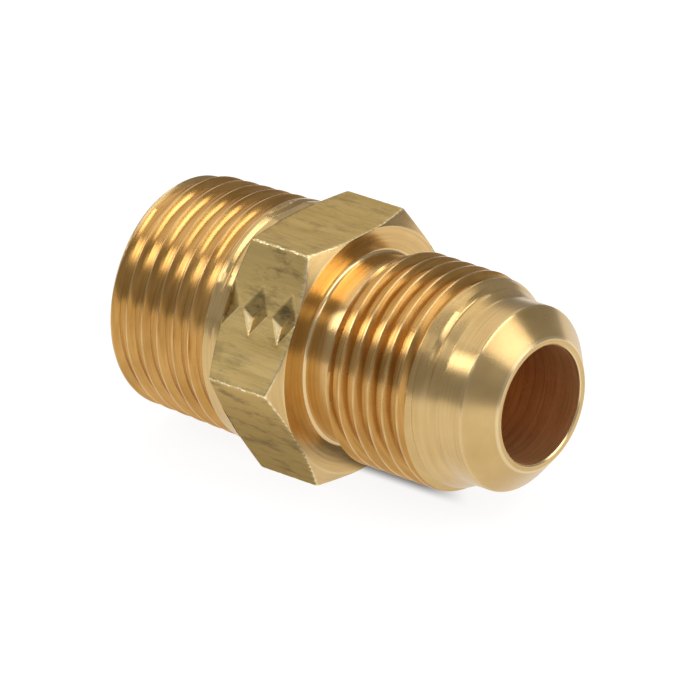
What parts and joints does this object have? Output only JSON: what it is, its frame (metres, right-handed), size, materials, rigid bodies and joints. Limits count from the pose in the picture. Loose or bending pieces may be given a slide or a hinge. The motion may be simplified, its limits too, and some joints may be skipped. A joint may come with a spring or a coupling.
{
  "type": "flare fitting",
  "caption": "Brass male connector: a threaded 45 degree flare nose, a hexagon for a wrench, a tapered pipe thread and a straight through bore.",
  "frame": {"origin": "on the axis of the bore, halfway between the flare nose and the pipe end", "axes": "+X along the bore toward the flare nose, +Z square to the upper level flat of the hexagon"},
  "size_m": [0.0402, 0.025, 0.0218],
  "materials": {
    "brass": "as machined, satin turned faces and drawn bar flats"
  },
  "bodies": {
    "root": {"fitting_body": "brass"}
  },
  "joints": []
}
